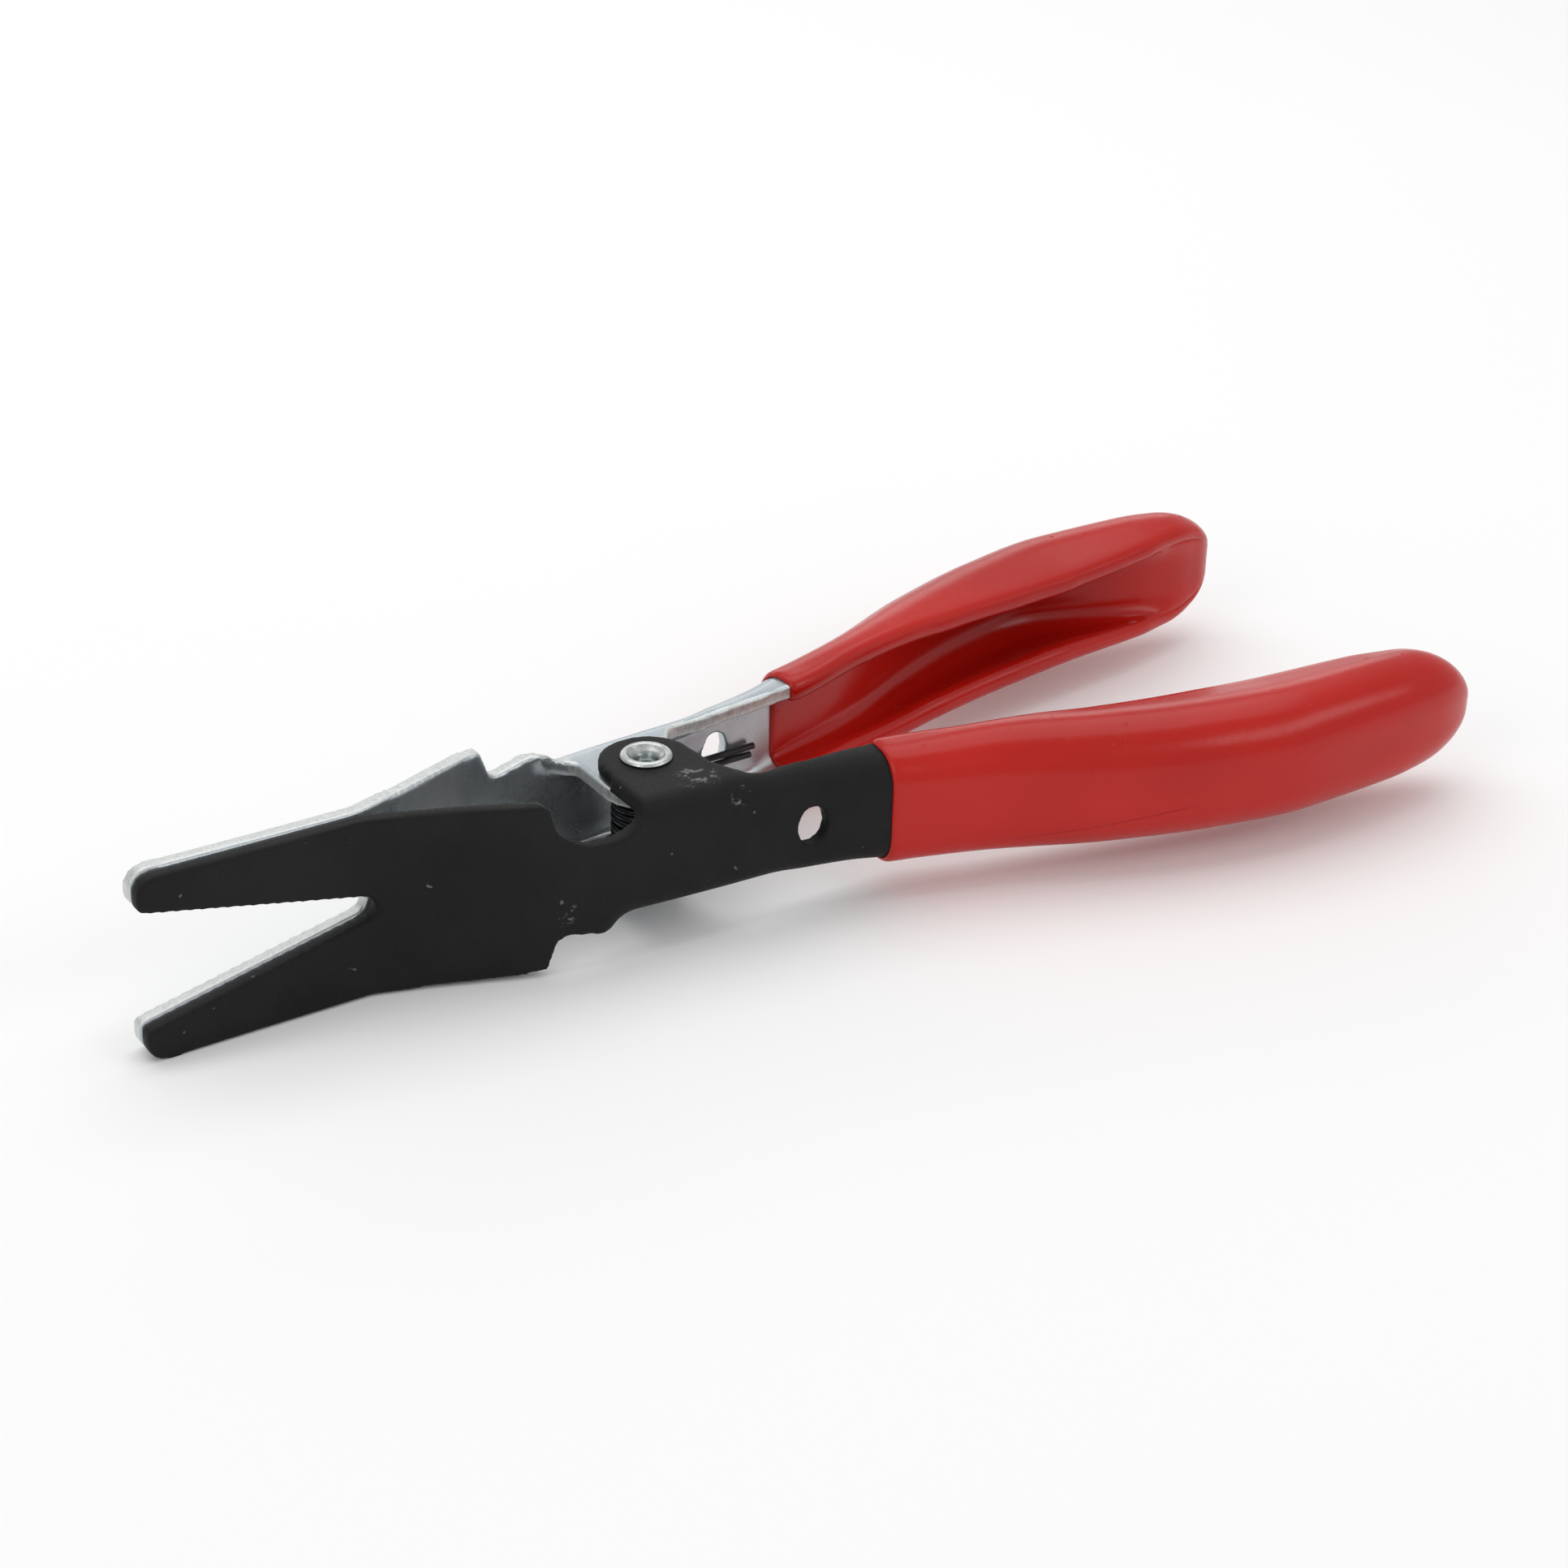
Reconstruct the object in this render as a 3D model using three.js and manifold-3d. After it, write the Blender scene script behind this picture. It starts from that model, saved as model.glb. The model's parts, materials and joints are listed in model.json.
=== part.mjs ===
// Spring-loaded hose-separator pliers: two identical sheet-steel stampings, one turned over on the
// other, joined by a tubular rivet. Squeezing the handles opens the two forked jaw plates, and a pair
// of torsion springs closes them again. Millimetres, +Z along the pivot, +X from the jaws to the grips.
import * as THREE from "three";
import { mergeVertices } from "three/addons/utils/BufferGeometryUtils.js";
import Module from "manifold-3d";

const wasm = await Module();
wasm.setup();

// ---------------------------------------------------------------- driving dimensions
const SHEET = 2.6; // thickness of the steel sheet
const JAW_REACH = 88.5; // pivot axis to the tips of the prongs
const HANDLE_REACH = 145.2; // pivot axis to the end of the grips
const JAW_GAP = 0.4; // between the closed jaw plates
const TIP_HALF_HEIGHT = 15.8; // jaw plate, at the tips
const SHOULDER_HALF_HEIGHT = 14.7; // jaw plate, at its back corners
const SHOULDER_REACH = 25; // pivot axis to the jaw plate's back corners
const OUTER_NECK_HEIGHT = 6; // middle of the web to the bottom of the notch beside the outer ear
const TAPER_REACH = 36; // pivot axis to where the jaw plate starts to widen towards the tips
const TAPER_RADIUS = 60;
const PLATE_FLAT_REACH = 53; // pivot axis to where the jaw plate is bent outwards
const NOTCH_MOUTH = 20.6; // width of the V between the prong tips
const NOTCH_HALF_ANGLE = 12.4; // degrees, each edge of the V
const NOTCH_RADIUS = 2.25; // round bottom of the V
const PRONG_OUTER_RADIUS = 3.4;
const PRONG_INNER_RADIUS = 1.5;
const WEB_AT_PIVOT = 14.7; // pivot axis to the outer face of the web
const EAR_RADIUS = 7.5; // round end of the outer ear
const INNER_EAR_RADIUS = 8; // round end of the inner ear
const STRAP_HALF_WIDTH = 7.8; // strap that carries the outer ear
const EAR_BACK_EDGE = 8.4; // pivot axis to an ear's edge on the side of the handle
const EAR_OVERLAP_FACE = 10.6; // the ears run this far into the bent flanges
const OUTER_FOLD = [-19, -11]; // the sheet turns from flat to folded here, beside the outer ear
const INNER_FOLD = [-15.5, -9.2]; // and here, beside the inner ear
const BLANK_FLANGE = 8; // flange length of the untrimmed sheet, cut to shape afterwards
const EAR_CLEARANCE = 0.3; // between an outer ear and the inner ear under it
const BEND_RADIUS = 3.2; // outside of the bend between web and ear
const CHANNEL_OUTER_HEIGHT = 10.1; // channel beyond the outer ear, from the middle of the web
const CHANNEL_STEP = 0.1; // the channel beyond the inner ear is this much shallower than the ear
const MOUTH_HALF_HEIGHT = 9.7; // channel where it enters the grip
const HANDLE_HALF_HEIGHT = 10.7; // channel inside the grip
const HANDLE_BEND_RADIUS = 8; // outside of the bends inside the grip
const LIP_ANGLE = 106; // degrees that the handle's flanges are folded through
const HOLE_CENTRE = 21.7; // hole in the web, from the pivot axis
const HOLE_LENGTH = 5.1;
const HOLE_HEIGHT = 7;
const PIN_RADIUS = 3; // shank of the rivet
const PIN_CLEARANCE = 0.12; // between the shank and what turns or sits on it
const FLANGE_RADIUS = 4.27; // rolled head of the rivet
const FLANGE_THICKNESS = 0.74;
const FLANGE_CLEARANCE = 0.1; // under each rolled head
const RECESS_RIM_RADIUS = 2.8;
const RECESS_FLOOR_RADIUS = 1.9;
const RECESS_DEPTH = 1;
const HEAD_ROUNDING = 0.35;
const SLEEVE_WALL = 1.1; // spacer that the springs are wound on
const SPRING_WIRE = 1.16; // diameter of the spring wire
const COIL_GAP = 0.1; // between neighbouring turns
const COIL_TURNS = 3; // whole turns, before the part turn that the legs add
const COIL_CLEARANCE = 0.36; // between the sleeve and the coils
const SPRING_CLEARANCE = 0.2; // between springs and ears, and from spring to spring
const LEG_END = 29.5; // pivot axis to the end of a leg on the rear web
const HIDDEN_LEG_END = 25.5; // pivot axis to the end of a leg on the front web
const LEG_STEP = 0.8; // the lower spring's leg is this much shorter
const LEG_KNEE = 15; // pivot axis to the bend where a leg turns along the web
const LEG_DROP = 1.7; // the rear legs' ends lie this far under the middle
const LEG_CLEARANCE = 0.6; // between a leg and the web that it bears on
const GRIP_WALL = 0.7; // coating on the outside of the handle
const GRIP_LINING = 0.9; // coating on the inside of the handle
const GRIP_CLEARANCE = 0.25; // between the coating and the steel
const GRIP_START = 34.5; // pivot axis to the mouth of the grip
const GRIP_MOUTH_TILT = 6; // degrees that the mouth leans
const NOSE_LENGTH = 12; // rounded end of the grip
const STEEL_SETBACK = 8; // the sheet ends this far inside the end of the grip
const TROUGH_SETBACK = 14; // the open trough ends this far before the end of the grip
const TROUGH_ROUNDING = 14; // length over which the trough closes

// ---------------------------------------------------------------- derived sizes
const PLATE_FACE = JAW_GAP / 2 + SHEET;
const SLEEVE_RADIUS = PIN_RADIUS + PIN_CLEARANCE + SLEEVE_WALL;
const COIL_RADIUS = SLEEVE_RADIUS + COIL_CLEARANCE + SPRING_WIRE / 2;
const COIL_PITCH = SPRING_WIRE + COIL_GAP;
const LEG_FACE = SHEET + LEG_CLEARANCE + SPRING_WIRE / 2;
const STEEL_END = HANDLE_REACH - STEEL_SETBACK;
const NOSE_START = HANDLE_REACH - NOSE_LENGTH;
const TROUGH_END = HANDLE_REACH - TROUGH_SETBACK;

const radians = THREE.MathUtils.degToRad;

// ---------------------------------------------------------------- profiles along the tool
// A smooth line through [x, value] points that never overshoots them.
function smoothLine(points) {
  const slopes = points.slice(1).map(([x, y], i) => (y - points[i][1]) / (x - points[i][0]));
  const tangents = points.map((_, i) => {
    if (i === 0 || i === points.length - 1) return slopes[Math.min(i, slopes.length - 1)];
    const [before, after] = [slopes[i - 1], slopes[i]];
    return before * after <= 0 ? 0 : (2 * before * after) / (before + after);
  });
  return (x) => {
    const last = points.length - 2;
    let i = points.findIndex((point, n) => n > 0 && x <= point[0]) - 1;
    if (i < 0) i = x < points[0][0] ? 0 : last;
    const width = points[i + 1][0] - points[i][0];
    const t = THREE.MathUtils.clamp((x - points[i][0]) / width, 0, 1);
    const rise = points[i + 1][1] - points[i][1];
    const start = tangents[i] * width;
    const end = tangents[i + 1] * width;
    return points[i][1] + t * (start + t * (3 * rise - 2 * start - end + t * (start + end - 2 * rise)));
  };
}

// Places along the handle, from its mouth (0) to the end of the grip (1).
const alongHandle = (share) => GRIP_START + share * (HANDLE_REACH - GRIP_START);

// Distance from the tool's middle plane to the outer face of the web.
const webFace = smoothLine([
  [-JAW_REACH, PLATE_FACE],
  [-PLATE_FLAT_REACH, PLATE_FACE],
  [-46, 4.5],
  [-34, 8.8],
  [-27, 11.3],
  [-20, 12.7],
  [-10, WEB_AT_PIVOT - 0.8],
  [0, WEB_AT_PIVOT],
  [12, WEB_AT_PIVOT + 0.7],
  [HOLE_CENTRE, WEB_AT_PIVOT + 1.6],
  [29, WEB_AT_PIVOT + 3],
  [alongHandle(0), WEB_AT_PIVOT + 5],
  [alongHandle(0.15), 25],
  [alongHandle(0.32), 33.4],
  [alongHandle(0.49), 39.4],
  [alongHandle(0.65), 42.2],
  [alongHandle(0.82), 41.6],
  [HANDLE_REACH, 39.2],
]);

// Distance from the tool's middle plane to the sheared inner edge of the flanges.
const lipFace = smoothLine([
  [8, 6.4],
  [10.2, 10.3],
  [12.8, 12.2],
  [16, 11.7],
  [HOLE_CENTRE, 11.3],
  [alongHandle(0), 11.4],
  [alongHandle(0.15), 16.4],
  [alongHandle(0.32), 21.4],
  [alongHandle(0.49), 24.3],
  [alongHandle(0.65), 26.4],
  [alongHandle(0.82), 28.8],
  [NOSE_START, 31.5],
  [STEEL_END, 33.5],
]);

const bendRadius = smoothLine([
  [16, BEND_RADIUS],
  [alongHandle(0), 5],
  [alongHandle(0.25), 7.2],
  [alongHandle(0.5), HANDLE_BEND_RADIUS],
  [NOSE_START, 7],
  [STEEL_END, 5],
]);

const handleTaper = smoothLine([
  [alongHandle(0.65), 0],
  [alongHandle(0.82), 0.2],
  [NOSE_START, 0.7],
  [STEEL_END, 1.5],
  [HANDLE_REACH, 2.5],
]);

// Heights of the ears, which the stacked springs set.
const springHeight = () => springTurns() * COIL_PITCH + SPRING_WIRE;
const innerEarFace = () => springHeight() + 1.5 * SPRING_CLEARANCE;
const innerEarHeight = () => innerEarFace() + SHEET;
const outerEarHeight = () => innerEarHeight() + EAR_CLEARANCE + SHEET;

// How one edge of the sheet is folded at x: the height of the fold, its radius and angle, and the
// length of the flange beyond it.
function edgeProfile(earHeight, channelHeight, [foldStart, foldEnd]) {
  const height = smoothLine([
    [9, earHeight],
    [15, channelHeight],
    [HOLE_CENTRE, (channelHeight + MOUTH_HALF_HEIGHT) / 2],
    [alongHandle(0), MOUTH_HALF_HEIGHT],
    [alongHandle(0.25), HANDLE_HALF_HEIGHT],
    [HANDLE_REACH, HANDLE_HALF_HEIGHT],
  ]);
  const fold = smoothLine([
    [foldStart, 0],
    [foldEnd, 90],
    [alongHandle(0), 90],
    [alongHandle(0.3), LIP_ANGLE],
  ]);
  return (x) => ({
    height: height(x) - handleTaper(x),
    radius: bendRadius(x),
    fold: radians(fold(x)),
    flange: x < -STRAP_HALF_WIDTH ? BLANK_FLANGE : webFace(x) - lipFace(x) - bendRadius(x),
  });
}

// ---------------------------------------------------------------- bent sheet sections
const BEND_STEPS = 5;

// One edge's path from the middle of the web to the sheared edge, as [depth below the web's outer
// face, height]. offset moves it into the sheet and extend lengthens the flange.
function edgePath(edge, offset, extend) {
  const bendLength = edge.radius * Math.max(edge.fold, Math.PI / 2);
  const flat = edge.height - edge.radius;
  const path = [];
  let [depth, height] = [0, flat];
  for (let step = 0; step <= BEND_STEPS; step++) {
    const angle = (edge.fold * step) / BEND_STEPS;
    if (edge.fold < 1e-6) {
      height = flat + (bendLength * step) / BEND_STEPS;
    } else {
      const radius = bendLength / edge.fold;
      depth = radius * (1 - Math.cos(angle));
      height = flat + radius * Math.sin(angle);
    }
    path.push([depth + offset * Math.cos(angle), height - offset * Math.sin(angle)]);
  }
  const [lastDepth, lastHeight] = path[BEND_STEPS];
  const run = edge.flange + extend;
  path.push([lastDepth + run * Math.sin(edge.fold), lastHeight + run * Math.cos(edge.fold)]);
  return path;
}

// The path across both edges, from the +Z edge's lip round the web to the -Z edge's lip.
function acrossSheet(x, edges, offset, extend) {
  const upper = edgePath(edges[0](x), offset, extend).reverse();
  const lower = edgePath(edges[1](x), offset, extend).map(([depth, height]) => [depth, -height]);
  return [...upper, ...lower];
}

// Puts a section's [depth, height] points square to the web at x.
function placeSection(x, section) {
  const step = 0.5;
  const slope = Math.atan((webFace(x + step) - webFace(x - step)) / (2 * step));
  return section.map(
    ([depth, height]) =>
      new THREE.Vector3(x + depth * Math.sin(slope), webFace(x) - depth * Math.cos(slope), height),
  );
}

const sheetRing = (edges, grow) => (x) =>
  placeSection(x, [
    ...acrossSheet(x, edges, -grow, grow),
    ...acrossSheet(x, edges, SHEET + grow, grow).reverse(),
  ]);

// ---------------------------------------------------------------- solids
function toSolid(geometry) {
  const bare = geometry.clone();
  bare.deleteAttribute("normal");
  bare.deleteAttribute("uv");
  const merged = mergeVertices(bare, 1e-5);
  const triangles = [];
  for (let i = 0; i < merged.index.count; i += 3) {
    const [a, b, c] = merged.index.array.slice(i, i + 3);
    if (a !== b && b !== c && c !== a) triangles.push(a, b, c);
  }
  const vertProperties = new Float32Array(merged.attributes.position.array);
  const triVerts = new Uint32Array(facingOut(vertProperties, triangles));
  return new wasm.Manifold(new wasm.Mesh({ numProp: 3, vertProperties, triVerts }));
}

// Turns a closed mesh's triangles over if they face inward.
function facingOut(positions, triangles) {
  const corner = (i) => new THREE.Vector3().fromArray(positions, 3 * triangles[i]);
  let volume = 0;
  for (let i = 0; i < triangles.length; i += 3) {
    volume += corner(i).dot(corner(i + 1).cross(corner(i + 2)));
  }
  return volume < 0 ? triangles.reverse() : triangles;
}

function toGeometry(solid) {
  const mesh = solid.getMesh();
  const geometry = new THREE.BufferGeometry();
  geometry.setAttribute("position", new THREE.BufferAttribute(mesh.vertProperties, 3));
  geometry.setIndex(new THREE.BufferAttribute(mesh.triVerts, 1));
  geometry.computeVertexNormals();
  return geometry;
}

// Triangles that close a ring lying roughly across x.
function acrossCap(ring) {
  const outline = ring.map((point) => new THREE.Vector2(point.y, point.z));
  const ringArea = THREE.ShapeUtils.area(outline);
  return THREE.ShapeUtils.triangulateShape(outline, []).map(([a, b, c]) => {
    const area = THREE.ShapeUtils.area([outline[a], outline[b], outline[c]]);
    return area * ringArea > 0 ? [a, b, c] : [a, c, b];
  });
}

// Triangles that close a convex ring facing any way.
const fanCap = (ring) => ring.slice(2).map((_, i) => [0, i + 1, i + 2]);

// Joins closed rings of equal length into one capped solid.
function loft(rings, cap = acrossCap) {
  const size = rings[0].length;
  const last = (rings.length - 1) * size;
  const index = [];
  for (let start = 0; start < last; start += size) {
    for (let point = 0; point < size; point++) {
      const a = start + point;
      const b = start + ((point + 1) % size);
      index.push(a, b, a + size, b, b + size, a + size);
    }
  }
  for (const [a, b, c] of cap(rings[0])) index.push(a, c, b);
  for (const [a, b, c] of cap(rings[rings.length - 1])) index.push(last + a, last + b, last + c);
  const geometry = new THREE.BufferGeometry();
  geometry.setFromPoints(rings.flat());
  geometry.setIndex(index);
  return toSolid(geometry);
}

// A polygon given as [x, y, corner radius], with each corner rounded.
function roundedOutline(corners) {
  const points = [];
  corners.forEach(([x, y, radius = 0], i) => {
    const corner = new THREE.Vector2(x, y);
    if (radius === 0) return points.push(corner);
    const [px, py] = corners[(i + corners.length - 1) % corners.length];
    const [nx, ny] = corners[(i + 1) % corners.length];
    const back = new THREE.Vector2(px, py).sub(corner).normalize();
    const ahead = new THREE.Vector2(nx, ny).sub(corner).normalize();
    const half = Math.acos(THREE.MathUtils.clamp(back.dot(ahead), -1, 1)) / 2;
    const bisector = back.clone().add(ahead).normalize();
    const centre = corner.clone().addScaledVector(bisector, radius / Math.sin(half));
    const from = corner.clone().addScaledVector(back, radius / Math.tan(half)).sub(centre);
    const turn = Math.sign(back.cross(ahead)) * -(Math.PI - 2 * half);
    const steps = Math.max(2, Math.ceil(Math.abs(turn) / radians(12)));
    for (let step = 0; step <= steps; step++) {
      points.push(from.clone().rotateAround(new THREE.Vector2(), (turn * step) / steps).add(centre));
    }
  });
  return new THREE.Shape(points);
}

const ROUND_STEPS = 36;

const extrude = (shape, depth) =>
  new THREE.ExtrudeGeometry(shape, { depth, bevelEnabled: false, curveSegments: 24 });

// An outline in (x, -z), cut straight through along y.
function sideCutter(shape) {
  const through = 4 * HANDLE_REACH;
  return toSolid(extrude(shape, through).rotateX(-Math.PI / 2).translate(0, -through / 2, 0));
}

// An outline in (x, y), standing from z = low to z = high.
const planPlate = (shape, low, high) => toSolid(extrude(shape, high - low).translate(0, 0, low));

// ---------------------------------------------------------------- the stamped half
// Side view of the blank, drawn with the outer ear's side up: forked jaw plate, deep notch beside the
// outer ear, shallow neck beside the inner ear. It leaves the ears and the handle untrimmed.
function blankOutline() {
  const clear = 3 * TIP_HALF_HEIGHT;
  const far = 2 * HANDLE_REACH;
  const apex = -JAW_REACH + NOTCH_MOUTH / 2 / Math.tan(radians(NOTCH_HALF_ANGLE));
  return roundedOutline([
    [apex, 0, NOTCH_RADIUS],
    [-JAW_REACH, NOTCH_MOUTH / 2, PRONG_INNER_RADIUS],
    [-JAW_REACH, TIP_HALF_HEIGHT, PRONG_OUTER_RADIUS],
    [-TAPER_REACH, SHOULDER_HALF_HEIGHT + 0.5, TAPER_RADIUS],
    [-SHOULDER_REACH + 0.5, SHOULDER_HALF_HEIGHT, 2.2],
    [-22.9, 8.9, 3],
    [-18.5, OUTER_NECK_HEIGHT, 5],
    [-STRAP_HALF_WIDTH, OUTER_NECK_HEIGHT, 6.4],
    [-STRAP_HALF_WIDTH, clear],
    [far, clear],
    [far, -clear],
    [-EAR_BACK_EDGE, -clear],
    [-EAR_BACK_EDGE, -8.8],
    [-13.5, -10.5, 5],
    [-22.9, -8.9, 2.2],
    [-SHOULDER_REACH, -SHOULDER_HALF_HEIGHT, 1.5],
    [-TAPER_REACH, -SHOULDER_HALF_HEIGHT - 0.5, TAPER_RADIUS],
    [-JAW_REACH, -TIP_HALF_HEIGHT, PRONG_OUTER_RADIUS],
    [-JAW_REACH, -NOTCH_MOUTH / 2, PRONG_INNER_RADIUS],
  ]);
}

// Plan of an ear: a strap from the web that ends in a half round about the pivot.
function earOutline(radius) {
  return roundedOutline([
    [-STRAP_HALF_WIDTH, EAR_OVERLAP_FACE],
    [-Math.max(radius, STRAP_HALF_WIDTH - 0.1), -radius, radius - 0.1],
    [radius, -radius, radius - 0.1],
    [EAR_BACK_EDGE, 6.8],
    [EAR_BACK_EDGE, EAR_OVERLAP_FACE],
  ]);
}

// Plan of what is sheared away between the neck and the strap of the inner ear.
function strapCutOutline() {
  const clear = 2 * WEB_AT_PIVOT;
  return roundedOutline([
    [-24, -clear],
    [-STRAP_HALF_WIDTH - 0.1, -clear],
    [-STRAP_HALF_WIDTH - 0.1, 9.2, 2],
    [-12, 10.2, 2],
    [-24, 7.9],
  ]);
}

function roundHole(radius, height) {
  return toSolid(new THREE.CylinderGeometry(radius, radius, height, ROUND_STEPS).rotateX(Math.PI / 2));
}

function holeOutline() {
  return new THREE.Shape().absellipse(HOLE_CENTRE, 0, HOLE_LENGTH / 2, HOLE_HEIGHT / 2, 0, 2 * Math.PI);
}

function halfEdges() {
  const upper = edgeProfile(innerEarHeight(), innerEarHeight() - CHANNEL_STEP, INNER_FOLD);
  const lower = edgeProfile(outerEarHeight(), CHANNEL_OUTER_HEIGHT, OUTER_FOLD);
  return [upper, lower];
}

const JAW_STATIONS = [-JAW_REACH - 1, -PLATE_FLAT_REACH, -50.5, -48, -45, -41, -37, -33, -29, -26];
const NECK_STATIONS = [-24, -22, -20, -18, -16];
const EAR_STATIONS = [-14, -12.5, -11, -9.5, -STRAP_HALF_WIDTH - 0.02, -STRAP_HALF_WIDTH, 0, 8];
const CHANNEL_STATIONS = [9, 10, 11, 12, 13, 14.5, 16, 19, 22, 25.5, 29, 32];
const HANDLE_SHARES = [0, 0.06, 0.13, 0.2, 0.27, 0.34, 0.42, 0.5, 0.58, 0.66, 0.74, 0.82, 0.87];

function handleStations(end) {
  return [...HANDLE_SHARES.map(alongHandle).filter((x) => x < end - 3), end - 2.5, end];
}

// One stamping, with its web on the +Y side, its outer ear down and its inner ear up.
function stampedHalf() {
  const jaw = [...JAW_STATIONS, ...NECK_STATIONS];
  const stations = [...jaw, ...EAR_STATIONS, ...CHANNEL_STATIONS, ...handleStations(STEEL_END)];
  const sheet = loft(stations.map(sheetRing(halfEdges(), 0)));
  const [outer, inner] = [outerEarHeight(), innerEarHeight()];
  return sheet
    .intersect(sideCutter(blankOutline()))
    .subtract(planPlate(strapCutOutline(), 0, 2 * outer))
    .add(planPlate(earOutline(EAR_RADIUS), -outer, SHEET - outer))
    .add(planPlate(earOutline(INNER_EAR_RADIUS), inner - SHEET, inner))
    .subtract(sideCutter(holeOutline()))
    .subtract(roundHole(PIN_RADIUS + PIN_CLEARANCE, 4 * outer));
}

// ---------------------------------------------------------------- the grip
const NOSE_BLUNTNESS = 2.5; // 2 draws the ends in along an ellipse, and more makes them squarer

// How much of a section is left where share (0 to 1) of a rounded end has gone by.
function drawIn(share) {
  const along = THREE.MathUtils.clamp(share, 0, 0.99);
  return (1 - along ** NOSE_BLUNTNESS) ** (1 / NOSE_BLUNTNESS);
}

// Draws a section's [depth, height] points in towards one depth at mid height.
const shrink = (section, towards, scale) =>
  section.map(([depth, height]) => [towards + (depth - towards) * scale, height * scale]);

// Outer shape of the coating: the handle's section closed across its lips, drawn in to a round nose.
function gripRing(edges) {
  return (x) => {
    const section = acrossSheet(x, edges, -GRIP_WALL, GRIP_WALL);
    const scale = drawIn((x - NOSE_START) / NOSE_LENGTH);
    const middle = (GRIP_WALL + webFace(x) - lipFace(x)) / 2;
    return placeSection(x, shrink(section, middle, scale));
  };
}

// The open trough along the inside of the grip, which closes towards the nose.
function troughRing(edges) {
  const past = 6;
  return (x) => {
    const section = acrossSheet(x, edges, SHEET + GRIP_LINING, past);
    const scale = drawIn((x - TROUGH_END) / TROUGH_ROUNDING + 1);
    const mouth = webFace(x) - lipFace(x) + past;
    return placeSection(x, shrink(section, mouth, scale));
  };
}

function grip() {
  const edges = halfEdges();
  const start = GRIP_START - 8;
  const body = [start, ...HANDLE_SHARES.map(alongHandle)].filter((x) => x < NOSE_START);
  const nose = [0, 0.25, 0.45, 0.62, 0.76, 0.87, 0.95, 1].map((share) => NOSE_START + share * NOSE_LENGTH);
  const open = body.filter((x) => x < TROUGH_END - TROUGH_ROUNDING);
  const close = [0, 0.3, 0.55, 0.75, 0.9, 1].map((share) => TROUGH_END + (share - 1) * TROUGH_ROUNDING);
  const steel = [start - 2, ...handleStations(STEEL_END), STEEL_END + GRIP_CLEARANCE];
  return loft([...body, ...nose].map(gripRing(edges)))
    .subtract(loft([start - 1, ...open, ...close].map(troughRing(edges))))
    .subtract(loft(steel.map(sheetRing(edges, GRIP_CLEARANCE))))
    .subtract(mouthCutter());
}

// Everything on the pivot's side of the grip's mouth.
function mouthCutter() {
  const size = HANDLE_REACH;
  const block = new THREE.BoxGeometry(size, size, size).translate(-size / 2, 0, 0);
  return toSolid(block.rotateZ(radians(GRIP_MOUTH_TILT)).translate(GRIP_START, webFace(GRIP_START), 0));
}

// ---------------------------------------------------------------- rivet, sleeve, springs
function lathe(profile) {
  const points = profile.map(([radius, height]) => new THREE.Vector2(radius, height));
  return toSolid(new THREE.LatheGeometry(points, ROUND_STEPS).rotateX(Math.PI / 2));
}

function rivet() {
  const under = outerEarHeight() + FLANGE_CLEARANCE;
  const top = under + FLANGE_THICKNESS;
  const head = (side) => [
    [RECESS_FLOOR_RADIUS, side * (top - RECESS_DEPTH)],
    [RECESS_RIM_RADIUS - HEAD_ROUNDING / 2, side * (top - HEAD_ROUNDING)],
    [RECESS_RIM_RADIUS + HEAD_ROUNDING, side * top],
    [FLANGE_RADIUS - HEAD_ROUNDING, side * top],
    [FLANGE_RADIUS, side * (top - HEAD_ROUNDING)],
    [FLANGE_RADIUS, side * under],
    [PIN_RADIUS, side * under],
  ];
  const floor = top - RECESS_DEPTH;
  return lathe([[0, -floor], ...head(-1), ...head(1).reverse(), [0, floor]]);
}

function sleeve() {
  const inner = PIN_RADIUS + PIN_CLEARANCE;
  const half = innerEarFace() - FLANGE_CLEARANCE;
  return lathe([
    [inner, -half],
    [SLEEVE_RADIUS, -half],
    [SLEEVE_RADIUS, half],
    [inner, half],
    [inner, -half],
  ]);
}

const WIRE_SIDES = 8;
const STEPS_PER_TURN = 18;
const UPRIGHT = new THREE.Vector3(0, 0, 1);

// A place on the inner face of a web, where a leg bears on it.
const onWeb = (x) => new THREE.Vector2(x, webFace(x) - LEG_FACE);

// Angle round the coil at which a leg that bends at its knee leaves the coil.
function leaveAngle() {
  const knee = onWeb(LEG_KNEE);
  return Math.atan2(knee.y, knee.x) + Math.acos(COIL_RADIUS / knee.length());
}

const springTurns = () => COIL_TURNS + 1 - leaveAngle() / Math.PI;

// The wire's path: rear leg, coil, front leg. side is +1 for the upper spring, whose rear leg leaves
// its lower end, and -1 for the lower spring, which is wound the other way.
function springPath(side) {
  const low = SPRING_CLEARANCE / 2 + SPRING_WIRE / 2;
  const high = low + springTurns() * COIL_PITCH;
  const knee = onWeb(LEG_KNEE);
  const rear = onWeb(side > 0 ? LEG_END : LEG_END - LEG_STEP);
  const front = onWeb(HIDDEN_LEG_END);
  const points = [
    new THREE.Vector3(rear.x, rear.y, side * low - LEG_DROP),
    new THREE.Vector3(knee.x, knee.y, side * low - LEG_DROP / 3),
  ];
  const steps = Math.round(springTurns() * STEPS_PER_TURN);
  for (let step = 0; step <= steps; step++) {
    const angle = leaveAngle() + (2 * Math.PI * springTurns() * step) / steps;
    const height = low + ((high - low) * step) / steps;
    const onCoil = new THREE.Vector3(COIL_RADIUS, 0, side * height);
    points.push(onCoil.applyAxisAngle(UPRIGHT, angle));
  }
  points.push(new THREE.Vector3(knee.x, -knee.y, side * high));
  points.push(new THREE.Vector3(front.x, -front.y, side * high));
  return points;
}

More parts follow.
